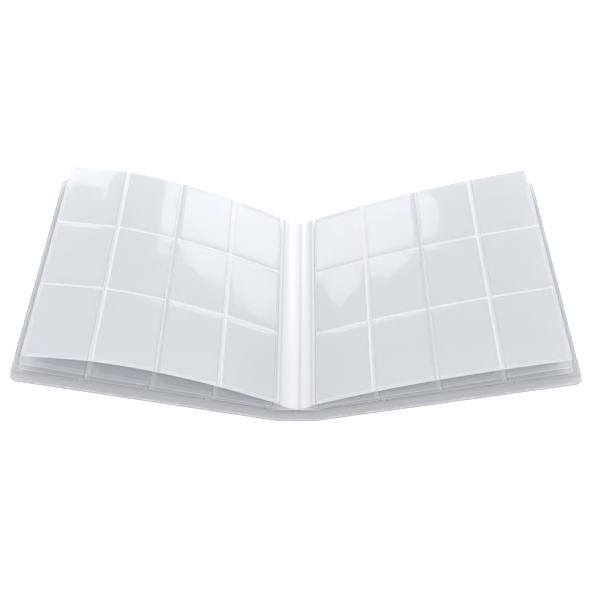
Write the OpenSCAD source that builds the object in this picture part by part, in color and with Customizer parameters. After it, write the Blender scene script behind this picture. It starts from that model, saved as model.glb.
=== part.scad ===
// Open card binder: a hinged cover in three boards, with folded pocket sheets bound along the spine.
// +X right, +Y away from the reader along the spine, +Z up. Origin under the middle of the spine.
// Each page sheet runs from a left leaf over a binding strip to a right leaf. Leaf 1 is the top one.
// A leaf is laid out flat along +X from its crease, then sloped, and mirrored for the left side.

/* [Pockets] */
// Width of the card that a pocket takes
card_w = 63; // [55:0.5:70]
// Height of the card that a pocket takes
card_h = 88; // [80:0.5:95]
// Spare width in a pocket
pocket_room_w = 2.5; // [1.5:0.5:4]
// Spare height in a pocket
pocket_room_h = 2.4; // [1.4:0.2:4]
// Rows of pockets up a leaf
rows = 3; // [2:1:4]
// Width of a weld line
weld_w = 3; // [2:0.5:4]
// Width of the open slit at the spine side of a pocket
mouth_w = 2.2; // [1.6:0.2:3]

/* [Leaves] */
// Thickness of the white sheet in the middle of a leaf
sheet_t = 0.4; // [0.3:0.05:0.5]
// Thickness of the clear pocket film
film_t = 0.2; // [0.15:0.05:0.3]
// Room for a card between sheet and film
pocket_gap = 0.35; // [0.25:0.05:0.4]
// Bare margin between the crease and the first pocket of the top leaf
margin_w = 4; // [3:0.5:6]
// Bare edge outside the welds
leaf_edge = 1; // [0.9:0.1:2]
// Corner radius of a leaf
leaf_corner_r = 3; // [2:0.5:3.2]
// Clearance between two sheets that meet at a crease
crease_gap = 0.8; // [0.7:0.1:1.1]
// Slope of the left top leaf at its first pocket column
left_slope_1 = 28.5; // [27:0.5:30]
// Slope of the left top leaf at its second pocket column
left_slope_2 = 23.4; // [22:0.2:25]
// Slope of the left top leaf at its third pocket column
left_slope_3 = 16.4; // [15:0.2:18]
// Slope of the left top leaf at its outer pocket column
left_slope_4 = 7.5; // [6:0.5:9]
// Slope of the right top leaf at its first pocket column
right_slope_1 = 23.4; // [22:0.2:25]
// Slope of the right top leaf at its second pocket column
right_slope_2 = 20.1; // [19:0.1:21]
// Slope of the right top leaf at its third pocket column
right_slope_3 = 17.4; // [17:0.1:18]
// Slope of the right top leaf at its outer pocket column
right_slope_4 = 15.3; // [14.5:0.1:16]
// Slope of the second leaf
second_slope = 17.6; // [17.2:0.1:18]
// Slope of the third leaf
third_slope = 16; // [16:0.1:16.2]

/* [Cover] */
// Tilt of each cover half above the table
cover_tilt = 16; // [15.8:0.1:16.2]
// Thickness of the stiff board
board_t = 2.4; // [2:0.1:3]
// Thickness of the outer skin
skin_t = 0.8; // [0.5:0.1:1.2]
// Thickness of the inner lining
lining_t = 0.8; // [0.5:0.1:1.2]
// Width of the skin turned round the board's edge
rim_w = 1.2; // [0.8:0.2:2]
// Reach of the cover past the leaves at the outer edge
cover_past_leaf = 11; // [9:0.5:16]
// Reach of the cover past the leaves at the near and far edges
overhang = 9.5; // [6:0.5:14]
// Radius of the cover's outer corners
corner_r = 9; // [5:0.5:14]

/* [Spine] */
// Distance of each cover hinge from the middle
hinge_x = 20; // [19.5:0.5:22]
// Distance of a stiff board's edge from its hinge line
hinge_gap = 3; // [2.5:0.5:4]
// Width of the bar that the sheets are welded to
bar_w = 3; // [2:0.5:3.5]
// Height of that bar
bar_h = 5.7; // [5.2:0.1:6]
// Thickness of a binding strip
strip_t = 0.6; // [0.4:0.1:0.7]
// Distance of the top leaf's crease from the middle
first_crease_x = 18.4; // [18:0.1:18.8]
// Reach of the second crease past the first
second_fan = 1.1; // [0.9:0.1:1.3]
// Reach of the third crease past the second
third_fan = 1; // [0.8:0.1:1.2]
// Height of the left top crease above the lining
left_crease_rise = 18; // [17.5:0.5:19]
// Height of the right top crease above the lining
right_crease_rise = 15.7; // [15.2:0.5:17]
// Height of the third crease above the lining
third_crease_rise = 6.8; // [6.6:0.1:7.2]
// Height from the third crease up to the second
crease_step = 2.6; // [2.5:0.1:3]
// Distance of the lowest leaf's root from the cover hinge
fourth_root = 9; // [8.5:0.5:12]
// Clearance between the lowest leaf and the lining
fourth_gap = 0.45; // [0.35:0.05:0.6]

/* [Hidden] */
$fn = 64;
LEFT = -1;
RIGHT = 1;
COLUMNS = 4;
LEAVES = 4;
column_pitch = card_w + pocket_room_w + weld_w;
row_pitch = card_h + pocket_room_h + weld_w;
field_h = rows * row_pitch + weld_w;
leaf_h = field_h + 2 * leaf_edge;
leaf_w = margin_w + COLUMNS * column_pitch + leaf_edge;
film_w0 = sheet_t / 2 + pocket_gap;
film_w1 = film_w0 + film_t;
cover_t = skin_t + board_t + lining_t;
cover_reach = leaf_w + cover_past_leaf;
cover_h = leaf_h + 2 * overhang;
spine_half = hinge_x - hinge_gap;
hinge_z = cover_t / 2;
second_crease_x = first_crease_x + second_fan;
third_crease_x = second_crease_x + third_fan;
third_crease_z = cover_t + third_crease_rise;
second_crease_z = third_crease_z + crease_step;
strip_base_z = cover_t + bar_h;
overshoot = 1;

white = "#E4E7EC";
clear = [0.85, 0.88, 0.92, 0.5];
grey_skin = "#C9C9CE";
grey_lining = "#DADADE";
board_grey = "#A9A59C";

// Direction of a slope, as [x, z]
function slope_dir(a) = [cos(a), sin(a)];

// Slope of one pocket column of a top leaf
function top_slope(side, i) = side == LEFT
    ? [left_slope_1, left_slope_2, left_slope_3, left_slope_4][i - 1]
    : [right_slope_1, right_slope_2, right_slope_3, right_slope_4][i - 1];

// Crease of a top leaf, as [x, z]
function top_crease(side) =
    [first_crease_x, cover_t + (side == LEFT ? left_crease_rise : right_crease_rise)];

// Start of one pocket column of a top leaf, as [x, z]
function column_start(side, i) = i == 1
    ? top_crease(side) + margin_w * slope_dir(top_slope(side, 1))
    : column_start(side, i - 1) + column_pitch * slope_dir(top_slope(side, i - 1));

// Point on a cover half, at a distance from its hinge and a height over its middle plane
function on_cover(u, w) =
    [hinge_x, hinge_z] + u * slope_dir(cover_tilt) + w * slope_dir(cover_tilt + 90);

// Root of a leaf, as [x, z], where its sheet meets its binding strip
function leaf_root(side, leaf) =
    leaf == 1 ? top_crease(side) :
    leaf == 2 ? [second_crease_x, second_crease_z] :
    leaf == 3 ? [third_crease_x, third_crease_z] :
    on_cover(fourth_root, cover_t / 2 + fourth_gap + film_w1);

// Point a gap short of the end of a straight run
function short_of(start, end, gap) = end - gap * (end - start) / norm(end - start);

// Slope of a flat leaf
function leaf_slope(leaf) = leaf == 2 ? second_slope : leaf == 3 ? third_slope : cover_tilt;

// Places a shape drawn for the right side
module on_side(side) {
    if (side == LEFT)
        mirror([1, 0, 0]) children();
    else
        children();
}

// Places a shape drawn flat along +X at a point and a slope
module sloped(side, point, slope) {
    on_side(side)
        translate([point[0], 0, point[1]])
            rotate([0, -slope, 0])
                children();
}

// Flat plate from x0 to x1, h deep, with two rounded corners at x1
module plate(x0, x1, h, r, z0, z1) {
    translate([0, 0, z0])
        linear_extrude(z1 - z0)
            union() {
                translate([x0, -h / 2])
                    square([x1 - x0 - r, h]);
                translate([x0, r - h / 2])
                    square([x1 - x0, h - 2 * r]);
                for (s = [-1, 1])
                    translate([x1 - r, s * (h / 2 - r)])
                        circle(r);
            }
}

// Square block from x0 to x1, h deep about y
module block(x0, x1, h, z0, z1, y = 0) {
    translate([x0, y - h / 2, z0])
        cube([x1 - x0, h, z1 - z0]);
}

// Clear film over a run of pocket columns, welded to the upper face of a sheet
module film(columns, start, end_gap) {
    run_end = start + columns * column_pitch - end_gap;
    for (i = [1 : columns]) {
        column_end = start + i * column_pitch;
        film_end = min(column_end, run_end);
        block(column_end - column_pitch + mouth_w, film_end, field_h, film_w0, film_w1);
        block(column_end - weld_w, film_end, field_h, sheet_t / 2, film_w1);
    }
    for (i = [0 : rows])
        block(start + mouth_w, run_end, weld_w, sheet_t / 2, film_w1, (i - rows / 2) * row_pitch);
}

// Outer skin of a cover half, turned up round the edge of its board
module cover_skin(side) {
    color(grey_skin)
        sloped(side, [hinge_x, hinge_z], cover_tilt)
            difference() {
                plate(hinge_gap, cover_reach, cover_h, corner_r, -cover_t / 2, cover_t / 2);
                plate(hinge_gap - overshoot, cover_reach - rim_w, cover_h - 2 * rim_w, corner_r - rim_w,
                    skin_t - cover_t / 2, cover_t / 2 + overshoot);
            }
}

// Plate that lies inside the turned edge of a cover half
module cover_layer(side, z0, z1) {
    sloped(side, [hinge_x, hinge_z], cover_tilt)
        plate(hinge_gap, cover_reach - rim_w, cover_h - 2 * rim_w, corner_r - rim_w, z0, z1);
}

module cover_board(side) {
    color(board_grey)
        cover_layer(side, skin_t - cover_t / 2, cover_t / 2 - lining_t);
}

module cover_lining(side) {
    color(grey_lining)
        cover_layer(side, cover_t / 2 - lining_t, cover_t / 2);
}

// Flexible band of skin or lining from the spine's edge to a cover half
module hinge_band(side, z0, t) {
    on_side(side)
        rotate([90, 0, 0])
            linear_extrude(cover_h, center = true)
                polygon([
                    [spine_half, z0],
                    on_cover(hinge_gap, z0 - cover_t / 2),
                    on_cover(hinge_gap, z0 - cover_t / 2 + t),
                    [spine_half, z0 + t]
                ]);
}

module hinge_strip(side) {
    color(grey_skin) {
        hinge_band(side, 0, skin_t);
        hinge_band(side, cover_t - lining_t, lining_t);
    }
}

module spine_board() {
    color(board_grey)
        block(-spine_half, spine_half, cover_h - 2 * rim_w, skin_t, skin_t + board_t);
}

module spine_skin() {
    color(grey_skin)
        difference() {
            block(-spine_half, spine_half, cover_h, 0, cover_t);
            block(-spine_half - overshoot, spine_half + overshoot, cover_h - 2 * rim_w, skin_t,
                cover_t + overshoot);
        }
}

module spine_lining() {
    color(grey_lining)
        block(-spine_half, spine_half, cover_h - 2 * rim_w, skin_t + board_t, cover_t);
}

module binding_bar() {
    color(white)
        block(-bar_w / 2, bar_w / 2, leaf_h, cover_t, strip_base_z);
}

// Middle of one page sheet, from its left crease over the bar to its right crease
module folio_strip(leaf) {
    z = strip_base_z + (LEAVES - leaf + 0.5) * strip_t;
    left = short_of([bar_w / 2, z], leaf_root(LEFT, leaf), crease_gap / 2);
    right = short_of([bar_w / 2, z], leaf_root(RIGHT, leaf), crease_gap / 2);
    half = [0, strip_t / 2];
    color(white)
        rotate([90, 0, 0])
            linear_extrude(leaf_h, center = true)
                polygon([
                    [-left[0], left[1]] - half,
                    [-bar_w / 2, z] - half,
                    [bar_w / 2, z] - half,
                    right - half,
                    right + half,
                    [bar_w / 2, z] + half,
                    [-bar_w / 2, z] + half,
                    [-left[0], left[1]] + half
                ]);
}

module leaf_1_margin(side) {
    color(white)
        sloped(side, top_crease(side), top_slope(side, 1))
            block(crease_gap / 2, margin_w - crease_gap / 2, leaf_h, -sheet_t / 2, sheet_t / 2);
}

// White sheet of one pocket column of a top leaf
module leaf_1_panel(side, i) {
    color(white)
        sloped(side, column_start(side, i), top_slope(side, i)) {
            if (i == COLUMNS)
                plate(crease_gap / 2, column_pitch + leaf_edge, leaf_h, leaf_corner_r,
                    -sheet_t / 2, sheet_t / 2);
            else
                block(crease_gap / 2, column_pitch - crease_gap / 2, leaf_h, -sheet_t / 2, sheet_t / 2);
        }
}

// Pocket films on both faces of one pocket column of a top leaf
module leaf_1_pockets(side, i) {
    end_gap = i == COLUMNS ? 0 : crease_gap / 2;
    color(clear)
        sloped(side, column_start(side, i), top_slope(side, i)) {
            film(1, 0, end_gap);
            mirror([0, 0, 1])
                film(1, 0, end_gap);
        }
}

// White sheet of a flat leaf
module leaf_sheet(side, leaf) {
    color(white)
        sloped(side, leaf_root(side, leaf), leaf_slope(leaf))
            plate(crease_gap / 2, leaf_w, leaf_h, leaf_corner_r, -sheet_t / 2, sheet_t / 2);
}

// Pocket film on the upper face of a flat leaf
module upper_pockets(side, leaf) {
    color(clear)
        sloped(side, leaf_root(side, leaf), leaf_slope(leaf))
            film(COLUMNS, margin_w, 0);
}

// Pocket film on the lower face of a flat leaf
module lower_pockets(side, leaf) {
    color(clear)
        sloped(side, leaf_root(side, leaf), leaf_slope(leaf))
            mirror([0, 0, 1])
                film(COLUMNS, margin_w, 0);
}

// Side of the open binder in a node's name
function side_name(side) = side == LEFT ? "left" : "right";

// Half of the cover in a node's name
function half_name(side) = side == LEFT ? "front" : "back";

spine_board();
spine_skin();
spine_lining();
binding_bar();
for (leaf = [1 : LEAVES])
    folio_strip(leaf);
for (side = [LEFT, RIGHT]) {
    hinge_strip(side);
    cover_board(side);
    cover_skin(side);
    cover_lining(side);
    leaf_1_margin(side);
    for (i = [1 : COLUMNS]) {
        leaf_1_panel(side, i);
        leaf_1_pockets(side, i);
    }
    for (leaf = [2 : LEAVES]) {
        leaf_sheet(side, leaf);
        upper_pockets(side, leaf);
        lower_pockets(side, leaf);
    }
}
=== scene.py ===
"""Looks of an open card binder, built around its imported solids.

All flat work is in millimetres: u runs from the spine outwards, v along the spine, w up from the
middle of the sheet or board. Each finished piece is then laid on its slope, in metres.
"""

import math

import bmesh
import bpy
from bpy.props import FloatProperty, FloatVectorProperty, IntProperty, PointerProperty, StringProperty
from mathutils import Matrix, Vector, noise


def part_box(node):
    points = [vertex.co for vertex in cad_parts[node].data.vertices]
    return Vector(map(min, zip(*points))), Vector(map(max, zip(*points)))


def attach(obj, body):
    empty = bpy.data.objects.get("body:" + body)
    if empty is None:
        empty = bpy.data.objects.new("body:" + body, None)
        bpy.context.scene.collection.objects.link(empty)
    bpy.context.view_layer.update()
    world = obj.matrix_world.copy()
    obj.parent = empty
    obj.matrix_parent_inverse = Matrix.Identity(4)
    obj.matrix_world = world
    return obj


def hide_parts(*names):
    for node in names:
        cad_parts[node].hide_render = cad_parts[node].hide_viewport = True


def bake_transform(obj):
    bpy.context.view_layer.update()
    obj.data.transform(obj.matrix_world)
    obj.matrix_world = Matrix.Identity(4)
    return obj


bl_info = {
    "name": "Card binder",
    "version": (1, 0, 0),
    "blender": (4, 5, 0),
    "location": "View3D > Sidebar > Binder",
    "description": "Cover, binding and pocket leaves of an open card binder",
    "category": "Add Mesh",
}

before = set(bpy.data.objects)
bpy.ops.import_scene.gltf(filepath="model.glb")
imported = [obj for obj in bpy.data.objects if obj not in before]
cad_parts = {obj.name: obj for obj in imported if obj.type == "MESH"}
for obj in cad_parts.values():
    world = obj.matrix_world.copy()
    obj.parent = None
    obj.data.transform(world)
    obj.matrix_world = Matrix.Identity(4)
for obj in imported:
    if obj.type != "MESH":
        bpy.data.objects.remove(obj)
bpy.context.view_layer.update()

MM = 0.001
SIDES = {"left": -1, "right": 1}
HALVES = {"left": "front", "right": "back"}
COLUMNS = 4
ROWS = 3
LEAVES = 4

# Lengths in mm that differ by less than this count as the same
CLOSE = 1e-3

# How finely the pieces are cut, so that they can bend, in mm
ALONG_SPINE = 24.0
SHEET_STEP = 4.0
MARGIN_STEP = 0.8
STRIP_STEP = 0.7
HINGE_STEP = 0.4
FINE_FILM = 3.2
COARSE_FILM = 11.0

# Angle in degrees from which an edge shows as sharp: on most pieces, on a strip and on a hinge
SHARP = 35
STRIP_SHARP = 50
HINGE_SHARP = 60

# Places of the materials in a pocket film's list
FILM, WELD, MOUTH_SHADE, CREST_SHADE = range(4)

# Painted highlight of the skin on the top of its rim and elsewhere, and how far down the rim's highlight
# reaches, in mm
RIM_HIGHLIGHT = 1.7
FACE_HIGHLIGHT = 0.1
HIGHLIGHT_REACH = 0.4

# Sag of each binding strip beside the top one's. Each sags less than the one above, so that they nest
SAG_SHARES = (1.0, 0.4, 0.2, 0.0)

# The film's ripples: fall of each finer layer, step between layers, layers, and shift per seed in mm
RIPPLE_FALL = 1.0
RIPPLE_STEP = 2.0
RIPPLE_LAYERS = 2
SEED_SHIFT = 13.7

SENSOR_MM = 36.0
CLIP_START = 0.01


def millimetres(name, about, default):
    """A size that a user may change, in millimetres."""
    return FloatProperty(name=name, description=about, default=default, min=0.0)


class BinderSizes(bpy.types.PropertyGroup):
    """Sizes of the finish, beside those that the solids give."""

    sheet_t: millimetres("Sheet", "Thickness of a leaf's white sheet, in mm", 0.4)
    film_t: millimetres("Film", "Thickness of the pocket film, in mm", 0.2)
    pocket_gap: millimetres("Pocket", "Room between sheet and film, in mm", 0.35)
    weld_w: millimetres("Weld", "Width of a weld line, in mm", 3.0)
    mouth_w: millimetres("Mouth", "Width of the open slit of a pocket, in mm", 2.2)
    lip_w: millimetres("Lip", "Width of the stiff cut lip of a pocket, in mm", 1.0)
    film_rise: millimetres("Rise", "Run in which the film lifts off a weld, in mm", 3.2)
    weld_sink: millimetres("Sink", "Depth to which a weld melts into the sheet, in mm", 0.06)
    film_crown: millimetres("Crown", "Crown of the film over an empty pocket, in mm", 0.25)
    film_ripple: millimetres("Ripple", "Height of the film's slack ripples, in mm", 0.16)
    ripple_pitch: millimetres("Ripple pitch", "Distance between slack ripples, in mm", 38.0)
    leaf_corner: millimetres("Leaf corner", "Corner radius of a leaf, in mm", 3.0)
    column_pitch: millimetres("Column", "Pitch of the pocket columns, in mm", 68.5)
    row_pitch: millimetres("Row", "Pitch of the pocket rows, in mm", 93.4)
    margin_w: millimetres("Margin", "Bare margin at the crease, in mm", 4.0)
    cover_t: millimetres("Cover", "Thickness of a cover half, in mm", 4.0)
    skin_t: millimetres("Skin", "Thickness of the cover's skin, in mm", 0.8)
    rim_w: millimetres("Rim", "Width of the skin turned round the edge, in mm", 1.2)
    edge_round: millimetres("Edge", "Rounding of the cover's edges, in mm", 0.95)
    cover_corner: millimetres("Cover corner", "Radius of the cover's corners, in mm", 9.0)
    hinge_gap: millimetres("Hinge", "Reach of the hinge to each side, in mm", 3.0)
    groove: millimetres("Groove", "Depth of the pressed hinge groove, in mm", 0.7)
    groove_fade: millimetres("Groove fade", "Run in which the groove fades to its ends, in mm", 12.0)
    skin_play: millimetres("Skin play", "Play between the skin and the lining in it, in mm", 0.02)
    strip_t: millimetres("Strip", "Thickness of a binding strip, in mm", 0.6)
    strip_sag: millimetres("Strip sag", "Sag of the top binding strip, in mm", 2.4)
    score_at: millimetres("Score", "Scored line of the top strip, from the middle, in mm", 4.8)
    score_w: millimetres("Score reach", "Reach of a scored line to each side, in mm", 4.0)
    crease_gap: millimetres("Crease", "Clearance between two sheets at a crease, in mm", 0.8)
    strip_play: millimetres("Strip play", "Gap between a strip and its crease, in mm", 0.2)
    root_play: millimetres("Root play", "Gap between a crease and its sheet, in mm", 0.1)
    margin_past: millimetres("Margin past", "Reach of the margin into its bend, in mm", 0.16)
    column_play: millimetres("Column play", "Gap between a column and its bend, in mm", 0.06)
    bar_w: millimetres("Bar", "Width of the binding bar, in mm", 3.0)


def colour(name, about, default):
    """A colour that a user may change, as an sRGB hex value."""
    return StringProperty(name=name, description=about, default=default)


class BinderColours(bpy.types.PropertyGroup):
    """Colours of the finishes, as sRGB hex values."""

    film: colour("Film", "Clear pocket film", "#EDEFF3")
    # Painted shade: the lip's grey stands in for the shade along a pocket's mouth.
    lip: colour("Lip", "Cut lip of a pocket", "#E3E6EA")
    weld: colour("Weld", "Film fused to the sheet", "#F0F2F6")
    # Painted shade: the crest weld's grey stands in for the shade along the fold of the arch.
    crest_weld_shade: colour("Bent weld", "Weld at the crest of a top leaf", "#D3D5DB")
    sheet: colour("Sheet", "White sheet of a leaf", "#F8FAFE")
    strip: colour("Strip", "Binding strips", "#F2F0F5")
    # Painted shade: this grey stands in for the shade in the strip's crease and scored line.
    fold_line_shade: colour("Score", "Scored lines of a binding strip", "#DAD9E0")
    # Painted shade: the bar's grey stands in for the shade under the strips.
    bar: colour("Bar", "Binding bar", "#BFC0C5")
    # Painted light: the skin is darkened to stand in for the shade on its faces, and the top of its rim is
    # painted paler as a highlight.
    skin: colour("Skin", "Outer skin of the cover", "#AEAFB2")
    skin_highlight: colour("Rubbed skin", "Skin where its edge is rubbed", "#F6F6F8")
    lining: colour("Lining", "Inner lining of the cover", "#E2E3E6")
    board: colour("Board", "Stiff board in the cover", "#A39E93")
    floor: colour("Floor", "Pale floor", "#FBFBFC")
    sky: colour("Sky", "Even light of the room", "#FAFBFC")


def watts(name, about, default):
    """Power of a lamp that a user may change."""
    return FloatProperty(name=name, description=about, default=default, min=0.0, unit="POWER")


class BinderStage(bpy.types.PropertyGroup):
    """Camera, floor and lights."""

    eye: FloatVectorProperty(
        name="Eye",
        description="Place of the camera",
        default=(0.0054, -0.6068, 0.7840),
        subtype="TRANSLATION",
    )
    turn: FloatVectorProperty(
        name="Turn",
        description="Turn of the camera",
        default=(math.radians(38.739), math.radians(-0.155), math.radians(0.332)),
        subtype="EULER",
    )
    lens: FloatProperty(
        name="Lens", description="Focal length, in mm", default=48.147, min=1.0, unit="CAMERA"
    )
    floor_half: FloatProperty(
        name="Floor", description="Half of the floor's width", default=4.0, min=0.0, unit="LENGTH"
    )
    floor_drop: FloatProperty(
        name="Floor drop", description="Gap between cover and floor", default=0.0004, min=0.0, unit="LENGTH"
    )
    walls: FloatProperty(name="Walls", description="Even light from the walls", default=0.4995, min=0.0)
    roof: FloatProperty(name="Roof", description="Even light from above", default=0.3145, min=0.0)
    roof_from: FloatProperty(name="Roof from", description="Sine of the roof's height", default=0.9, max=1.0)
    key: watts("Key", "Power of the front softbox", 11.0)
    left: watts("Left", "Power of the left softbox", 4.5)
    right: watts("Right", "Power of the right softbox", 3.0)
    right_rear: watts("Right rear", "Power of the softbox whose glare lies on the left leaf", 9.7)
    left_rear: watts("Left rear", "Power of the softbox whose glare lies on the right leaf", 6.5)
    seed: IntProperty(name="Seed", description="Start of the film's ripples", default=7, min=0)


def sizes():
    return bpy.context.scene.binder_sizes


def colours():
    return bpy.context.scene.binder_colours


def linear(hex_value):
    """Linear RGBA of an sRGB hex value."""
    parts = [int(hex_value[i : i + 2], 16) / 255 for i in (1, 3, 5)]
    return [p / 12.92 if p <= 0.04045 else ((p + 0.055) / 1.055) ** 2.4 for p in parts] + [1.0]


def add_node(tree, kind, links=None, values=None, **settings):
    """One node with its settings, its values and what feeds it."""
    made = tree.nodes.new(kind)
    for name, value in settings.items():
        setattr(made, name, value)
    for name, value in (values or {}).items():
        made.inputs[name].default_value = value
    for name, source in (links or {}).items():
        tree.links.new(source, made.inputs[name])
    return made


def start_material(name):
    """An empty material with its shader and the object's own coordinates."""
    found = bpy.data.materials.get(name)
    if found:
        return found, None, None, None
    made = bpy.data.materials.new(name)
    made.use_nodes = True
    tree = made.node_tree
    tree.nodes.clear()
    shader = add_node(tree, "ShaderNodeBsdfPrincipled")
    add_node(tree, "ShaderNodeOutputMaterial", {"Surface": shader.outputs["BSDF"]})
    place = add_node(tree, "ShaderNodeTexCoord").outputs["Object"]
    return made, tree, shader, place


def shade(rgba, factor):
    """A tone a little darker or lighter than another."""
    return [min(1.0, c * factor) for c in rgba[:3]] + [1.0]


def cast_polypropylene_film():
    """Cast clear polypropylene: a wet-looking gloss over a faint cool tint, with slack ripples."""
    made, tree, shader, place = start_material("cast_polypropylene_film")
    if tree is None:
        return made
    tint = linear(colours().film)
    haze = add_node(
        tree,
        "ShaderNodeTexNoise",
        {"Vector": place},
        {"Scale": 1 / (60 * MM), "Detail": 2.0, "Roughness": 0.5},
    )
    tones = add_node(
        tree,
        "ShaderNodeMix",
        {0: haze.outputs["Fac"]},
        {6: shade(tint, 0.97), 7: shade(tint, 1.03)},
        data_type="RGBA",
    )
    tree.links.new(tones.outputs[2], shader.inputs["Base Color"])
    # Casting leaves shallow waves about 11 mm apart, which only the gloss shows.
    wave = add_node(
        tree,
        "ShaderNodeTexNoise",
        {"Vector": place},
        {"Scale": 1 / (11 * MM), "Detail": 1.5, "Roughness": 0.45},
    )
    bump = add_node(
        tree, "ShaderNodeBump", {"Height": wave.outputs["Fac"]}, {"Strength": 0.35, "Distance": 0.25 * MM}
    )
    tree.links.new(bump.outputs["Normal"], shader.inputs["Normal"])
    shader.inputs["Roughness"].default_value = 0.06
    shader.inputs["IOR"].default_value = 1.49
    shader.inputs["Alpha"].default_value = 0.18
    return made


def film_lip_painted_shade():
    """The cut lip of the film, greyed as a thin line of painted shade along the pocket's mouth."""
    made, tree, shader, place = start_material("film_lip_painted_shade")
    if tree is None:
        return made
    tint = linear(colours().lip)
    drift = add_node(tree, "ShaderNodeTexNoise", {"Vector": place}, {"Scale": 1 / (25 * MM), "Detail": 1.0})
    tones = add_node(
        tree,
        "ShaderNodeMix",
        {0: drift.outputs["Fac"]},
        {6: shade(tint, 0.95), 7: shade(tint, 1.06)},
        data_type="RGBA",
    )
    tree.links.new(tones.outputs[2], shader.inputs["Base Color"])
    shader.inputs["Roughness"].default_value = 0.3
    shader.inputs["IOR"].default_value = 1.49
    shader.inputs["Alpha"].default_value = 0.5
    return made


def welded_polypropylene(shaded=False):
    """Film fused to the sheet by a knurled bar: milky, matte and finely dotted, and greyer with painted shade
    at the crest of a top leaf.
    """
    made, tree, shader, place = start_material("crest_weld_painted_shade" if shaded else "welded_polypropylene")
    if tree is None:
        return made
    tint = linear(colours().crest_weld_shade if shaded else colours().weld)
    # The knurl's real pitch is about 0.5 mm: it is drawn at 1.5 mm so that it shows.
    knurl = add_node(
        tree, "ShaderNodeTexVoronoi", {"Vector": place}, {"Scale": 1 / (1.5 * MM), "Randomness": 0.15}
    )
    bump = add_node(
        tree,
        "ShaderNodeBump",
        {"Height": knurl.outputs["Distance"]},
        {"Strength": 0.25, "Distance": 0.08 * MM},
    )
    tree.links.new(bump.outputs["Normal"], shader.inputs["Normal"])
    tones = add_node(
        tree,
        "ShaderNodeMix",
        {0: knurl.outputs["Distance"]},
        {6: shade(tint, 0.97), 7: tint},
        data_type="RGBA",
    )
    tree.links.new(tones.outputs[2], shader.inputs["Base Color"])
    shader.inputs["Roughness"].default_value = 0.5
    shader.inputs["IOR"].default_value = 1.49
    return made


def extruded_polypropylene_sheet():
    """White polypropylene off a satin roller: soft sheen, a hair of grain, and thin enough to pass light."""
    made, tree, shader, place = start_material("extruded_polypropylene_sheet")
    if tree is None:
        return made
    tint = linear(colours().sheet)
    drift = add_node(tree, "ShaderNodeTexNoise", {"Vector": place}, {"Scale": 1 / (80 * MM), "Detail": 3.0})
    tones = add_node(
        tree,
        "ShaderNodeMix",
        {0: drift.outputs["Fac"]},
        {6: shade(tint, 0.98), 7: shade(tint, 1.02)},
        data_type="RGBA",
    )
    tree.links.new(tones.outputs[2], shader.inputs["Base Color"])
    grain = add_node(tree, "ShaderNodeTexNoise", {"Vector": place}, {"Scale": 1 / (0.9 * MM), "Detail": 2.0})
    bump = add_node(
        tree, "ShaderNodeBump", {"Height": grain.outputs["Fac"]}, {"Strength": 0.15, "Distance": 0.04 * MM}
    )
    tree.links.new(bump.outputs["Normal"], shader.inputs["Normal"])
    shader.inputs["Roughness"].default_value = 0.38
    shader.inputs["IOR"].default_value = 1.49
    through = add_node(tree, "ShaderNodeBsdfTranslucent", values={"Color": tint})
    mixed = add_node(
        tree,
        "ShaderNodeMixShader",
        {1: shader.outputs["BSDF"], 2: through.outputs["BSDF"]},
        {0: 0.22},
    )
    tree.links.new(mixed.outputs["Shader"], tree.nodes["Material Output"].inputs["Surface"])
    return made


def folded_polypropylene_strip():
    """The folded middle of a page sheet: brighter than the pockets, and greyer with painted shade along its
    crease and scored line.
    """
    made, tree, shader, place = start_material("folded_polypropylene_strip")
    if tree is None:
        return made
    tint = linear(colours().strip)
    # Drawing the sheet leaves faint lines along the spine, about 1.2 mm wide and 90 mm long.
    along = add_node(
        tree,
        "ShaderNodeMapping",
        {"Vector": place},
        {"Scale": (1 / (1.2 * MM), 1 / (90 * MM), 0.0)},
    )
    lines = add_node(
        tree,
        "ShaderNodeTexNoise",
        {"Vector": along.outputs["Vector"]},
        {"Scale": 1.0, "Detail": 2.0},
    )
    plain = add_node(
        tree,
        "ShaderNodeMix",
        {0: lines.outputs["Fac"]},
        {6: shade(tint, 0.98), 7: shade(tint, 1.02)},
        data_type="RGBA",
    )
    # Painted shade along the crease and scored line, as marked on the strip.
    fold_line_shade = add_node(tree, "ShaderNodeAttribute", attribute_name="fold_line_shade")
    scored = add_node(
        tree,
        "ShaderNodeMix",
        {0: fold_line_shade.outputs["Fac"], 6: plain.outputs[2]},
        {7: linear(colours().fold_line_shade)},
        data_type="RGBA",
    )
    tree.links.new(scored.outputs[2], shader.inputs["Base Color"])
    bump = add_node(
        tree, "ShaderNodeBump", {"Height": lines.outputs["Fac"]}, {"Strength": 0.2, "Distance": 0.06 * MM}
    )
    tree.links.new(bump.outputs["Normal"], shader.inputs["Normal"])
    shader.inputs["Roughness"].default_value = 0.34
    shader.inputs["IOR"].default_value = 1.49
    return made


def polypropylene_bar_painted_shade():
    """The welding bar: moulded polypropylene, greyed with painted shade so that its end stays dark under the
    strips.
    """
    made, tree, shader, place = start_material("polypropylene_bar_painted_shade")
    if tree is None:
        return made
    tint = linear(colours().bar)
    flow = add_node(tree, "ShaderNodeTexNoise", {"Vector": place}, {"Scale": 1 / (12 * MM), "Detail": 2.0})
    tones = add_node(
        tree,
        "ShaderNodeMix",
        {0: flow.outputs["Fac"]},
        {6: shade(tint, 0.95), 7: shade(tint, 1.05)},
        data_type="RGBA",
    )
    tree.links.new(tones.outputs[2], shader.inputs["Base Color"])
    shader.inputs["Roughness"].default_value = 0.45
    shader.inputs["IOR"].default_value = 1.49
    return made


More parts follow.
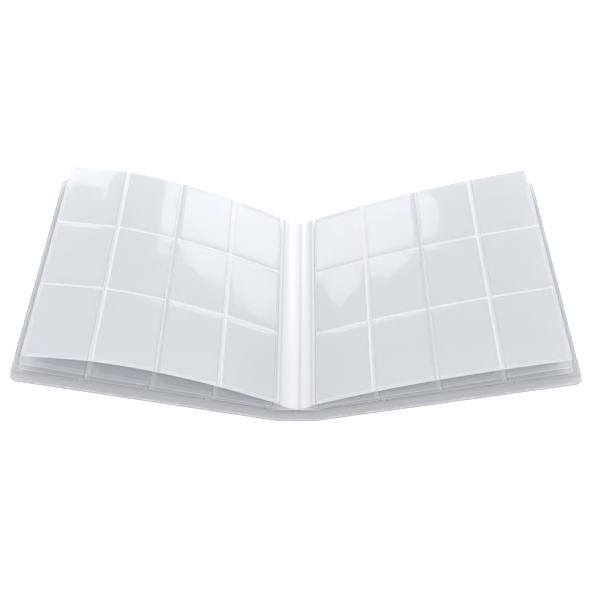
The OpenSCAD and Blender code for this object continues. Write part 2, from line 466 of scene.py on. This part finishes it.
def coated_leatherette_skin():
    """Coated leatherette: pebbled grain about 1.6 mm across, grey with painted shade, and paler with a
    painted highlight on the top of the turned edge.
    """
    made, tree, shader, place = start_material("coated_leatherette_skin")
    if tree is None:
        return made
    tint = linear(colours().skin)
    pebble = add_node(
        tree, "ShaderNodeTexVoronoi", {"Vector": place}, {"Scale": 1 / (1.6 * MM)}, feature="SMOOTH_F1"
    )
    crease = add_node(tree, "ShaderNodeTexNoise", {"Vector": place}, {"Scale": 1 / (5 * MM), "Detail": 4.0})
    height = add_node(
        tree,
        "ShaderNodeMath",
        {0: pebble.outputs["Distance"], 1: crease.outputs["Fac"]},
        operation="ADD",
    )
    bump = add_node(
        tree, "ShaderNodeBump", {"Height": height.outputs[0]}, {"Strength": 0.4, "Distance": 0.14 * MM}
    )
    tree.links.new(bump.outputs["Normal"], shader.inputs["Normal"])
    # Painted highlight: the skin turns paler on the top of its rim, broken up by the crease noise.
    rim_highlight = add_node(tree, "ShaderNodeAttribute", attribute_name="rim_highlight")
    highlighted = add_node(
        tree,
        "ShaderNodeMath",
        {0: rim_highlight.outputs["Fac"], 1: crease.outputs["Fac"]},
        operation="MULTIPLY",
        use_clamp=True,
    )
    tones = add_node(
        tree,
        "ShaderNodeMix",
        {0: highlighted.outputs[0]},
        {6: tint, 7: linear(colours().skin_highlight)},
        data_type="RGBA",
    )
    tree.links.new(tones.outputs[2], shader.inputs["Base Color"])
    gloss = add_node(
        tree,
        "ShaderNodeMapRange",
        {"Value": pebble.outputs["Distance"]},
        {"To Min": 0.42, "To Max": 0.6},
    )
    tree.links.new(gloss.outputs["Result"], shader.inputs["Roughness"])
    shader.inputs["IOR"].default_value = 1.5
    return made


def linen_embossed_lining():
    """Matte lining embossed like linen: two crossed sets of threads about 1 mm apart."""
    made, tree, shader, place = start_material("linen_embossed_lining")
    if tree is None:
        return made
    tint = linear(colours().lining)
    # A wave node puts 20 / 2 pi bands into each unit of its scaled texture.
    scale = math.tau / (20 * 1.0 * MM)
    warp, weft = (
        add_node(
            tree,
            "ShaderNodeTexWave",
            {"Vector": place},
            {"Scale": scale, "Distortion": 1.2, "Detail": 1.0},
            bands_direction=way,
        )
        for way in ("X", "Y")
    )
    threads = add_node(
        tree, "ShaderNodeMath", {0: warp.outputs["Fac"], 1: weft.outputs["Fac"]}, operation="ADD"
    )
    bump = add_node(
        tree, "ShaderNodeBump", {"Height": threads.outputs[0]}, {"Strength": 0.3, "Distance": 0.08 * MM}
    )
    tree.links.new(bump.outputs["Normal"], shader.inputs["Normal"])
    half = add_node(tree, "ShaderNodeMath", {0: threads.outputs[0]}, {1: 0.5}, operation="MULTIPLY")
    tones = add_node(
        tree,
        "ShaderNodeMix",
        {0: half.outputs[0]},
        {6: shade(tint, 0.96), 7: shade(tint, 1.02)},
        data_type="RGBA",
    )
    tree.links.new(tones.outputs[2], shader.inputs["Base Color"])
    shader.inputs["Roughness"].default_value = 0.62
    shader.inputs["IOR"].default_value = 1.5
    return made


def pressed_greyboard():
    """Pressed greyboard: dull, warm grey, with flecks of fibre."""
    made, tree, shader, place = start_material("pressed_greyboard")
    if tree is None:
        return made
    tint = linear(colours().board)
    fleck = add_node(tree, "ShaderNodeTexNoise", {"Vector": place}, {"Scale": 1 / (1.4 * MM), "Detail": 5.0})
    tones = add_node(
        tree,
        "ShaderNodeMix",
        {0: fleck.outputs["Fac"]},
        {6: shade(tint, 0.8), 7: shade(tint, 1.15)},
        data_type="RGBA",
    )
    tree.links.new(tones.outputs[2], shader.inputs["Base Color"])
    bump = add_node(
        tree, "ShaderNodeBump", {"Height": fleck.outputs["Fac"]}, {"Strength": 0.3, "Distance": 0.1 * MM}
    )
    tree.links.new(bump.outputs["Normal"], shader.inputs["Normal"])
    shader.inputs["Roughness"].default_value = 0.9
    return made


def pocket_materials():
    """Materials of a pocket film, in the order of their places."""
    return [cast_polypropylene_film(), welded_polypropylene(), film_lip_painted_shade()]


def studio_floor():
    """Pale floor that also glows a little, so that shadows on it stay faint."""
    made, tree, shader, _ = start_material("studio_floor")
    if tree is None:
        return made
    tint = linear(colours().floor)
    shader.inputs["Base Color"].default_value = tint
    shader.inputs["Roughness"].default_value = 0.9
    shader.inputs["Emission Color"].default_value = tint
    shader.inputs["Emission Strength"].default_value = 0.55
    return made


class Slope:
    """The lie, the reach and the depth of a flat sheet or board, read from the box of its solid."""

    SETTLES_AFTER = 30

    def __init__(self, node, side, thickness):
        low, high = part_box(node)
        t = thickness * MM
        # The box holds the tilted thickness too, which depends on the angle, so the angle is found in rounds.
        angle = 0.0
        for _ in range(self.SETTLES_AFTER):
            angle = math.atan2(
                high.z - low.z - t * math.cos(angle),
                high.x - low.x - t * math.sin(angle),
            )
        self.side = side
        self.angle = angle
        self.along = Vector((side * math.cos(angle), 0, math.sin(angle)))
        self.up = Vector((-side * math.sin(angle), 0, math.cos(angle)))
        inner = low.x if side > 0 else -high.x
        self.start = Vector((side * (inner + t / 2 * math.sin(angle)), 0, low.z + t / 2 * math.cos(angle)))
        self.reach = ((high.x - low.x) / MM - thickness * math.sin(angle)) / math.cos(angle)
        self.depth = (high.y - low.y) / MM

    def at(self, u, v, w):
        """The place in metres of a flat point in mm."""
        return self.start + (u * self.along + w * self.up) * MM + Vector((0, v * MM, 0))

    def lay(self, bm, shape=None):
        """Moves a flat mesh onto the slope. shape gives w for a flat (u, v, w)."""
        for vert in bm.verts:
            u, v, w = vert.co
            vert.co = self.at(u, v, shape(u, v, w) if shape else w)
        bmesh.ops.recalc_face_normals(bm, faces=bm.faces[:])


def steps(start, end, pitch):
    """Even cuts between two ends, about one pitch apart."""
    count = max(1, round((end - start) / pitch))
    return [start + (end - start) * i / count for i in range(1, count)]


def outline(bm, start, end, depth, radius=0.0, height=0.0):
    """Flat face from start to end, with its two outer corners rounded."""
    plan = ((start, -depth / 2), (end, -depth / 2), (end, depth / 2), (start, depth / 2))
    corners = [bm.verts.new((u, v, height)) for u, v in plan]
    bm.faces.new(corners)
    if radius:
        bmesh.ops.bevel(
            bm,
            geom=corners[1:3],
            offset=radius,
            affect="VERTICES",
            segments=8,
            profile=0.5,
            material=-1,
        )


def cut(bm, cuts_u=(), cuts_v=()):
    """Cuts a flat mesh along lines of equal u and of equal v."""
    for places, axis in ((cuts_u, (1, 0, 0)), (cuts_v, (0, 1, 0))):
        for place in places:
            bmesh.ops.bisect_plane(
                bm,
                geom=bm.verts[:] + bm.edges[:] + bm.faces[:],
                dist=1e-5,
                plane_co=Vector(axis) * place,
                plane_no=axis,
            )


def thicken(bm, height):
    """Makes a flat face into a closed plate."""
    made = bmesh.ops.extrude_face_region(bm, geom=bm.faces[:], use_keep_orig=True)
    lifted = [g for g in made["geom"] if isinstance(g, bmesh.types.BMVert)]
    bmesh.ops.translate(bm, vec=(0, 0, height), verts=lifted)
    bmesh.ops.recalc_face_normals(bm, faces=bm.faces[:])


def finish_piece(name, bm, materials, nodes, sharp=SHARP):
    """The finished mesh as an object at the origin, standing for its solids."""
    mesh = bpy.data.meshes.new(name)
    bm.to_mesh(mesh)
    bm.free()
    mesh.shade_smooth()
    mesh.set_sharp_from_angle(angle=math.radians(sharp))
    for material in materials:
        mesh.materials.append(material)
    made = bpy.data.objects.new(name, mesh)
    bpy.context.scene.collection.objects.link(made)
    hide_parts(*nodes)
    return made


def paint(node, material):
    """A solid that stays in view takes a finish."""
    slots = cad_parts[node].data.materials
    slots.clear()
    slots.append(material)


def highlight_attribute(bm, top):
    """Painted highlight of the skin at each point: most of all on its rim, at the height top."""
    layer = bm.verts.layers.float.new("rim_highlight")
    for vert in bm.verts:
        vert[layer] = RIM_HIGHLIGHT if vert.co.z > top - HIGHLIGHT_REACH else FACE_HIGHLIGHT


def skin_tray(start, end, depth, radius, open_ends):
    """Skin of a board with its edge turned up, rounded outside, hollow for board and lining."""
    s = sizes()
    low, high = -s.cover_t / 2, s.cover_t / 2
    bm = bmesh.new()
    outline(bm, start, end, depth, radius, low)
    thicken(bm, s.cover_t)
    rounded = [
        e
        for e in bm.edges
        if abs(e.verts[0].co.z - e.verts[1].co.z) < CLOSE
        and not any(all(abs(v.co.x - u) < CLOSE for v in e.verts) for u in open_ends)
    ]
    bmesh.ops.bevel(
        bm,
        geom=rounded,
        offset=s.edge_round,
        affect="EDGES",
        segments=5,
        profile=0.5,
        material=-1,
    )
    top = max((f for f in bm.faces if f.normal.z > 0), key=lambda f: f.calc_area())
    bmesh.ops.inset_region(bm, faces=[top], thickness=s.rim_w - s.edge_round, use_even_offset=True)
    bmesh.ops.inset_region(
        bm, faces=[top], thickness=s.skin_play, depth=s.skin_t - s.cover_t, use_even_offset=True
    )
    # At an open end the wall stays just under the lining, which runs on over the hinge.
    inside = depth / 2 - s.edge_round - CLOSE
    for vert in bm.verts:
        if abs(vert.co.y) < inside and any(abs(vert.co.x - u) < s.rim_w for u in open_ends):
            vert.co.z = min(vert.co.z, high - s.skin_play)
    # The top of the rim takes the painted highlight.
    highlight_attribute(bm, high)
    return bm


class BINDER_OT_cover(bpy.types.Operator):
    """Skin of both cover halves and the spine, the flexible hinges, and the finish of boards and linings"""

    bl_idname = "binder.cover"
    bl_label = "Cover"

    def execute(self, context):
        s = sizes()
        skin, lining, board = coated_leatherette_skin(), linen_embossed_lining(), pressed_greyboard()
        for node in ("spine_board", "front_cover_board", "back_cover_board"):
            paint(node, board)
        for node in ("spine_lining", "front_cover_lining", "back_cover_lining"):
            paint(node, lining)
        low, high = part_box("spine_skin")
        depth = (high.y - low.y) / MM
        half = high.x / MM
        spine = skin_tray(-half, half, depth, 0.0, (-half, half))
        bmesh.ops.transform(
            spine,
            matrix=Matrix.Translation((0, 0, s.cover_t / 2 * MM)) @ Matrix.Scale(MM, 4),
            verts=spine.verts[:],
        )
        made = finish_piece("spine_leatherette", spine, [skin], ["spine_skin"])
        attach(made, "spine")
        for name, side in SIDES.items():
            half_name = HALVES[name]
            self.half(half_name, side, depth, skin)
            self.hinge(half_name, side, depth, half, [skin, lining])
        return {"FINISHED"}

    def half(self, name, side, depth, skin):
        """Skin of one half of the cover."""
        s = sizes()
        node = f"{name}_cover_skin"
        slope = Slope(node, side, s.cover_t)
        bm = skin_tray(0.0, slope.reach, depth, s.cover_corner, (0.0,))
        slope.lay(bm)
        made = finish_piece(f"{name}_cover_leatherette", bm, [skin], [node])
        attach(made, f"{name}_cover")

    def hinge(self, name, side, depth, half, materials):
        """Bent band of skin, with lining inside its rim, from the spine's edge at half to the cover."""
        s = sizes()
        slope = Slope(f"{name}_cover_skin", side, s.cover_t)
        radius = s.hinge_gap / math.tan(slope.angle / 2)
        length = radius * slope.angle
        bm = bmesh.new()
        outline(bm, 0.0, length, depth, 0.0, -s.cover_t / 2)
        edge = depth / 2 - s.rim_w
        cut(bm, steps(0.0, length, HINGE_STEP), [-edge, edge])
        thicken(bm, s.cover_t)
        ends = [
            e
            for e in bm.edges
            if all(abs(abs(v.co.y) - depth / 2) < CLOSE for v in e.verts)
            and abs(e.verts[0].co.z - e.verts[1].co.z) < CLOSE
        ]
        bmesh.ops.bevel(
            bm, geom=ends, offset=s.edge_round, affect="EDGES", segments=5, profile=0.5, material=-1
        )
        for face in bm.faces:
            centre = face.calc_center_median()
            face.material_index = int(centre.z > s.cover_t / 2 - CLOSE and abs(centre.y) < edge)
        # The top of the rim takes the painted highlight.
        highlight_attribute(bm, s.cover_t / 2)
        for vert in bm.verts:
            u, v, w = vert.co
            inland = min(1.0, max(0.0, (depth / 2 - abs(v)) / s.groove_fade))
            pressed = s.groove * math.sin(math.pi * u / length) ** 2 * inland
            w -= pressed * w / (s.cover_t / 2)
            turn = u / radius
            arm = radius - w
            vert.co = (
                side * (half + arm * math.sin(turn)) * MM,
                v * MM,
                (s.cover_t / 2 + radius - arm * math.cos(turn)) * MM,
            )
        bmesh.ops.recalc_face_normals(bm, faces=bm.faces[:])
        made = finish_piece(
            f"{name}_hinge_leatherette", bm, materials, [f"{name}_hinge_strip"], HINGE_SHARP
        )
        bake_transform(made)


class BINDER_OT_binding(bpy.types.Operator):
    """The bar on the spine and the middle strips of the page sheets welded on it"""

    bl_idname = "binder.binding"
    bl_label = "Binding"

    def execute(self, context):
        strip = folded_polypropylene_strip()
        # The bar takes the grey of painted shade.
        paint("binding_bar", polypropylene_bar_painted_shade())
        for leaf in range(1, LEAVES + 1):
            low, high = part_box(f"folio_strip_{leaf}")
            depth = (high.y - low.y) / MM
            for name, side in SIDES.items():
                self.half_strip(leaf, name, side, depth, strip)
        return {"FINISHED"}

    def half_strip(self, leaf, name, side, depth, strip):
        """One side of a strip, from the middle of the bar to the crease. The strips are piled on the bar."""
        s = sizes()
        _, bar_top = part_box("binding_bar")
        rest = bar_top.z / MM + (LEAVES - leaf + 0.5) * s.strip_t
        sheet = f"{name}_leaf_1_margin" if leaf == 1 else f"{name}_leaf_{leaf}_sheet"
        root = Slope(sheet, side, s.sheet_t).start / MM
        edge = s.bar_w / 2
        run = Vector((abs(root.x) - edge, root.z - rest))
        length = run.length
        end = edge + length - s.strip_play
        bm = bmesh.new()
        outline(bm, 0.0, end, depth, 0.0, -s.strip_t / 2)
        cut(bm, steps(0.0, end, STRIP_STEP), steps(-depth / 2, depth / 2, ALONG_SPINE))
        thicken(bm, s.strip_t)
        # The top strip is scored along its crease and, on the right, along the middle of its trough, and
        # painted shade greys it along these lines.
        lines = []
        if leaf == 1:
            lines = [edge + length, s.score_at] if side > 0 else [edge + length]
        layer = bm.verts.layers.float.new("fold_line_shade")
        for vert in bm.verts:
            vert[layer] = max([0.0] + [1 - abs(vert.co.x - line) / s.score_w for line in lines])
        sag = s.strip_sag * SAG_SHARES[leaf - 1]
        for vert in bm.verts:
            u, v, w = vert.co
            share = min(1.0, max(0.0, (u - edge) / length))
            point = Vector((u, rest)) if u < edge else Vector((edge, rest)) + run * share
            drop = 4 * sag * share * (1 - share)
            vert.co = (side * point.x * MM, v * MM, (point.y + w - drop) * MM)
        bmesh.ops.recalc_face_normals(bm, faces=bm.faces[:])
        node = f"folio_strip_{leaf}"
        made = finish_piece(f"{name}_{node}", bm, [strip], [node], STRIP_SHARP)
        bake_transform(made)


def weld_edges(s):
    """Both edges of each row weld, along the spine."""
    half = s.weld_w / 2
    return [(i - ROWS / 2) * s.row_pitch + e for i in range(ROWS + 1) for e in (-half, half)]


def film_column(s, fine, outer=False, crest=False):
    """Film of one pocket column, flat. The milky inner welds and the mouth's lip are faces of their own."""
    depth = ROWS * s.row_pitch + s.weld_w
    start, end = s.mouth_w, s.column_pitch - (0.0 if outer else s.crease_gap / 2)
    weld = s.column_pitch - s.weld_w
    edges = weld_edges(s)
    cuts_u = [start + s.lip_w, weld]
    cuts_v = edges[1:-1]
    cuts_u += steps(start + s.lip_w, weld, fine)
    cuts_v += [line for i in range(ROWS) for line in steps(edges[2 * i + 1], edges[2 * i + 2], fine)]
    bm = bmesh.new()
    outline(bm, start, end, depth)
    cut(bm, sorted(cuts_u), sorted(cuts_v))
    for face in bm.faces:
        centre = face.calc_center_median()
        nearest = min(abs(centre.y - (i - ROWS / 2) * s.row_pitch) for i in range(ROWS + 1))
        inner = abs(centre.y) < (ROWS - 1) / 2 * s.row_pitch + s.weld_w
        # At the crest of a top leaf the weld takes the grey of painted shade.
        if centre.x > weld and not outer:
            face.material_index = CREST_SHADE if crest else WELD
        elif nearest < s.weld_w / 2 and inner:
            face.material_index = WELD
        # The lip's faces take the grey of painted shade.
        elif centre.x < start + s.lip_w:
            face.material_index = MOUTH_SHADE
    thicken(bm, s.film_t)
    return bm


def film_height(s, u, v, slack, place):
    """Height of the film over the sheet: fused at the welds, crowned and slack over a pocket."""
    offset = v + ROWS / 2 * s.row_pitch
    row = min(ROWS, max(0, round(offset / s.row_pitch)))
    clear_v = abs(offset - row * s.row_pitch) - s.weld_w / 2
    clear_u = s.column_pitch - s.weld_w - u
    clear = min(clear_u, clear_v)
    if clear <= 0:
        return -s.weld_sink
    lift = min(1.0, clear / s.film_rise)
    lift = lift * lift * (3 - 2 * lift)
    sink = s.weld_sink * (1 - lift)
    if not slack:
        return s.pocket_gap * lift - sink
    across = math.sin(math.pi * min(1.0, max(0.0, u / (s.column_pitch - s.weld_w))))
    along = math.sin(math.pi * min(1.0, clear_v / (s.row_pitch - s.weld_w)))
    # The noise swings round zero, so half is added to lift most of the ripples off the sheet.
    ripple = 0.5 + noise.fractal(place / s.ripple_pitch, RIPPLE_FALL, RIPPLE_STEP, RIPPLE_LAYERS)
    return lift * (s.pocket_gap + s.film_crown * across * along + s.film_ripple * ripple) - sink


class BINDER_OT_top_leaves(bpy.types.Operator):
    """The arched top leaf of each side, in four pocket columns that bend at their welds"""

    bl_idname = "binder.top_leaves"
    bl_label = "Top leaves"

    def execute(self, context):
        s = sizes()
        sheet, films = extruded_polypropylene_sheet(), pocket_materials()
        for name, side in SIDES.items():
            self.margin(name, side, sheet)
            lies = [Slope(f"{name}_leaf_1_panel_{i}", side, s.sheet_t) for i in range(1, COLUMNS + 1)]
            for i in range(1, COLUMNS + 1):
                angle = lies[i - 1].angle
                before = lies[i - 2].angle if i > 1 else angle
                after = lies[i].angle if i < COLUMNS else angle
                bends = (math.tan((before - angle) / 2), -math.tan((angle - after) / 2))
                self.panel(name, i, lies[i - 1], bends, sheet)
                self.pockets(name, i, lies[i - 1], bends, films)
        return {"FINISHED"}

    def margin(self, name, side, sheet):
        """The narrow margin between the crease and the first column."""
        s = sizes()
        node = f"{name}_leaf_1_margin"
        slope = Slope(node, side, s.sheet_t)
        end = s.margin_w - s.crease_gap + s.margin_past
        half = slope.depth / 2
        bm = bmesh.new()
        outline(bm, s.root_play - s.crease_gap / 2, end, slope.depth, 0.0, -s.sheet_t / 2)
        cut(bm, steps(0, end, MARGIN_STEP), steps(-half, half, ALONG_SPINE))
        thicken(bm, s.sheet_t)
        slope.lay(bm)
        made = finish_piece(f"{name}_leaf_1_crease", bm, [sheet], [node])
        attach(made, node)

    def arch(self, u, bends):
        """Crown that carries the leaf's curve smoothly from one column into the next."""
        length = sizes().column_pitch
        t = min(1.0, max(0.0, u / length))
        return length * (bends[0] * (t - 2 * t * t + t**3) + bends[1] * (t**3 - t * t))

    def panel(self, name, i, slope, bends, sheet):
        """White sheet of one column."""
        s = sizes()
        node = f"{name}_leaf_1_panel_{i}"
        depth = slope.depth
        lead = s.crease_gap / 2
        start = -s.margin_past if i == 1 else s.column_play - lead
        end = slope.reach if i == COLUMNS else slope.reach + lead - s.column_play
        bm = bmesh.new()
        outline(bm, start, end, depth, s.leaf_corner if i == COLUMNS else 0.0, -s.sheet_t / 2)
        cut(bm, steps(start, end, SHEET_STEP), steps(-depth / 2, depth / 2, ALONG_SPINE))
        thicken(bm, s.sheet_t)
        slope.lay(bm, lambda u, v, w: w + self.arch(u + lead, bends))
        made = finish_piece(f"{name}_leaf_1_sheet_{i}", bm, [sheet], [node])
        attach(made, f"{name}_leaf_1_column_{i}")

    def pockets(self, name, i, slope, bends, films):
        """Film on both faces of one column. The upper one, which is seen, is slack."""
        s = sizes()
        shift = Vector((bpy.context.scene.binder_stage.seed * SEED_SHIFT, 0, 0))
        lead = s.crease_gap / 2
        crest = i == COLUMNS // 2
        whole = bmesh.new()
        for face in (1, -1):
            bm = film_column(s, FINE_FILM if face > 0 else COARSE_FILM, i == COLUMNS, crest)
            for vert in bm.verts:
                u, v, w = vert.co
                place = slope.at(u, v, 0) / MM + shift
                height = s.sheet_t / 2 + film_height(s, u, v, face > 0, place) + w
                vert.co = slope.at(u - lead, v, face * height + self.arch(u, bends))
            bmesh.ops.recalc_face_normals(bm, faces=bm.faces[:])
            part = bpy.data.meshes.new("part")
            bm.to_mesh(part)
            bm.free()
            whole.from_mesh(part)
            bpy.data.meshes.remove(part)
        node = f"{name}_leaf_1_pockets_{i}"
        # The crest column's weld takes the grey of painted shade.
        if crest:
            films = films + [welded_polypropylene(shaded=True)]
        made = finish_piece(f"{name}_leaf_1_film_{i}", whole, films, [node])
        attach(made, f"{name}_leaf_1_column_{i}")


class BINDER_OT_lower_leaves(bpy.types.Operator):
    """The flat leaves under the top ones, each a sheet with pocket film on both faces"""

    bl_idname = "binder.lower_leaves"
    bl_label = "Lower leaves"

    def execute(self, context):
        sheet, films = extruded_polypropylene_sheet(), pocket_materials()
        for name, side in SIDES.items():
            for leaf in range(2, LEAVES + 1):
                slope = self.page(name, side, leaf, sheet)
                for face, word in ((1, "upper"), (-1, "lower")):
                    self.pockets(name, leaf, slope, face, word, films)
        return {"FINISHED"}

    def page(self, name, side, leaf, sheet):
        """White sheet of one leaf. Returns the lie of it."""
        s = sizes()
        node = f"{name}_leaf_{leaf}_sheet"
        slope = Slope(node, side, s.sheet_t)
        lead = s.crease_gap / 2
        bm = bmesh.new()
        outline(bm, s.root_play - lead, slope.reach, slope.depth, s.leaf_corner, -s.sheet_t / 2)
        cut(bm, [s.margin_w - lead + i * s.column_pitch for i in range(COLUMNS + 1)], weld_edges(s))
        thicken(bm, s.sheet_t)
        slope.lay(bm)
        made = finish_piece(f"{name}_leaf_{leaf}_page", bm, [sheet], [node])
        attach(made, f"{name}_leaf_{leaf}")
        return slope

    def pockets(self, name, leaf, slope, face, word, films):
        """Film on one face of a leaf: one column, repeated."""
        s = sizes()
        bm = film_column(s, COARSE_FILM)
        for vert in bm.verts:
            u, v, w = vert.co
            vert.co.z = face * (s.sheet_t / 2 + film_height(s, u, v, False, None) + w)
        first = bm.verts[:] + bm.edges[:] + bm.faces[:]
        for i in range(1, COLUMNS):
            more = bmesh.ops.duplicate(bm, geom=first)
            bmesh.ops.translate(
                bm,
                vec=(i * s.column_pitch, 0, 0),
                verts=[g for g in more["geom"] if isinstance(g, bmesh.types.BMVert)],
            )
        for outermost in bm.faces:
            if outermost.calc_center_median().x > COLUMNS * s.column_pitch - s.weld_w:
                outermost.material_index = FILM
        bmesh.ops.translate(bm, vec=(s.margin_w - s.crease_gap / 2, 0, 0), verts=bm.verts[:])
        slope.lay(bm)
        node = f"{name}_leaf_{leaf}_{word}_pockets"
        made = finish_piece(f"{name}_leaf_{leaf}_{word}_film", bm, films, [node])
        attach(made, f"{name}_leaf_{leaf}")


class BINDER_OT_stage(bpy.types.Operator):
    """Pale floor, soft lights and the camera"""

    bl_idname = "binder.stage"
    bl_label = "Stage"

    def execute(self, context):
        stage = context.scene.binder_stage
        self.floor(context.scene, stage)
        self.room(context.scene, stage)
        self.lights(stage)
        self.camera(context.scene, stage)
        return {"FINISHED"}

    def floor(self, scene, stage):
        bm = bmesh.new()
        bmesh.ops.create_grid(bm, x_segments=8, y_segments=8, size=stage.floor_half)
        bmesh.ops.translate(bm, vec=(0, 0, -stage.floor_drop), verts=bm.verts[:])
        mesh = bpy.data.meshes.new("floor")
        bm.to_mesh(mesh)
        bm.free()
        mesh.materials.append(studio_floor())
        floor = bpy.data.objects.new("floor", mesh)
        scene.collection.objects.link(floor)

    def room(self, scene, stage):
        """Even light. The walls are brighter than the roof, so that light gets in between the leaves."""
        world = bpy.data.worlds.new("even_light")
        world.use_nodes = True
        tree = world.node_tree
        back = tree.nodes["Background"]
        back.inputs["Color"].default_value = linear(colours().sky)
        way = add_node(tree, "ShaderNodeTexCoord")
        parts = add_node(tree, "ShaderNodeSeparateXYZ", {"Vector": way.outputs["Generated"]})
        light = add_node(
            tree,
            "ShaderNodeMapRange",
            {"Value": parts.outputs["Z"]},
            {"From Max": stage.roof_from, "To Min": stage.walls, "To Max": stage.roof},
            interpolation_type="SMOOTHSTEP",
        )
        tree.links.new(light.outputs["Result"], back.inputs["Strength"])
        scene.world = world

    def lights(self, stage):
        """Three softboxes for the even look, and two at the rear for the glare on the pockets."""
        middle = (0, 0, 0.05)
        self.softbox("key_softbox", middle, 180, 50, 1.9, 0, (1.6, 0.7), stage.key)
        self.softbox("left_softbox", middle, -90, 45, 1.9, 0, (1.2, 0.6), stage.left)
        self.softbox("right_softbox", middle, 90, 45, 1.9, 0, (1.2, 0.6), stage.right)
        left_leaf, right_leaf = (-0.09, 0.09, 0.05), (0.09, 0.09, 0.05)
        self.softbox("right_rear_softbox", left_leaf, 33.5, 31.3, 1.6, -35, (0.92, 0.44), stage.right_rear)
        self.softbox("left_rear_softbox", right_leaf, -30, 34.2, 1.6, 23, (0.68, 0.4), stage.left_rear)

    def camera(self, scene, stage):
        data = bpy.data.cameras.new("camera")
        data.sensor_width = SENSOR_MM
        data.lens = stage.lens
        data.clip_start = CLIP_START
        camera = bpy.data.objects.new("camera", data)
        camera.location = stage.eye
        camera.rotation_euler = stage.turn
        scene.collection.objects.link(camera)
        scene.camera = camera
        scene.view_settings.view_transform = "Standard"

    def softbox(self, name, aim, azimuth, height, distance, lean, size, power):
        """A softbox seen from aim at an azimuth from +Y and a height in degrees, its long side leaning."""
        az, el, tip = (math.radians(a) for a in (azimuth, height, lean))
        away = Vector((math.sin(az) * math.cos(el), math.cos(az) * math.cos(el), math.sin(el)))
        level = Vector((math.cos(az), -math.sin(az), 0))
        rise = level.cross(away)
        along = math.cos(tip) * level + math.sin(tip) * rise
        data = bpy.data.lights.new(name, "AREA")
        data.shape = "RECTANGLE"
        data.size, data.size_y = size
        data.energy = power
        made = bpy.data.objects.new(name, data)
        turn = Matrix((along, away.cross(along), away)).transposed()
        made.matrix_world = Matrix.Translation(Vector(aim) + away * distance) @ turn.to_4x4()
        bpy.context.scene.collection.objects.link(made)


class BINDER_PT_panel(bpy.types.Panel):
    """Lists the binder's pieces and finishes in the sidebar"""

    bl_idname = "BINDER_PT_panel"
    bl_label = "Card binder"
    bl_space_type = "VIEW_3D"
    bl_region_type = "UI"
    bl_category = "Binder"

    def draw(self, context):
        column = self.layout.column()
        for operator in OPERATORS:
            column.operator(operator.bl_idname)
        for group in (context.scene.binder_sizes, context.scene.binder_colours, context.scene.binder_stage):
            for name in group.bl_rna.properties.keys():
                if name not in ("rna_type", "name"):
                    column.prop(group, name)


GROUPS = {"binder_sizes": BinderSizes, "binder_colours": BinderColours, "binder_stage": BinderStage}
OPERATORS = (
    BINDER_OT_cover,
    BINDER_OT_binding,
    BINDER_OT_lower_leaves,
    BINDER_OT_top_leaves,
    BINDER_OT_stage,
)
CLASSES = (*GROUPS.values(), *OPERATORS, BINDER_PT_panel)


def register():
    for item in CLASSES:
        bpy.utils.register_class(item)
    for name, group in GROUPS.items():
        setattr(bpy.types.Scene, name, PointerProperty(type=group))


def unregister():
    for name in GROUPS:
        delattr(bpy.types.Scene, name)
    for item in reversed(CLASSES):
        bpy.utils.unregister_class(item)


def main():
    register()
    bpy.ops.binder.cover()
    bpy.ops.binder.binding()
    bpy.ops.binder.lower_leaves()
    bpy.ops.binder.top_leaves()
    bpy.ops.binder.stage()


if __name__ == "__main__":
    main()
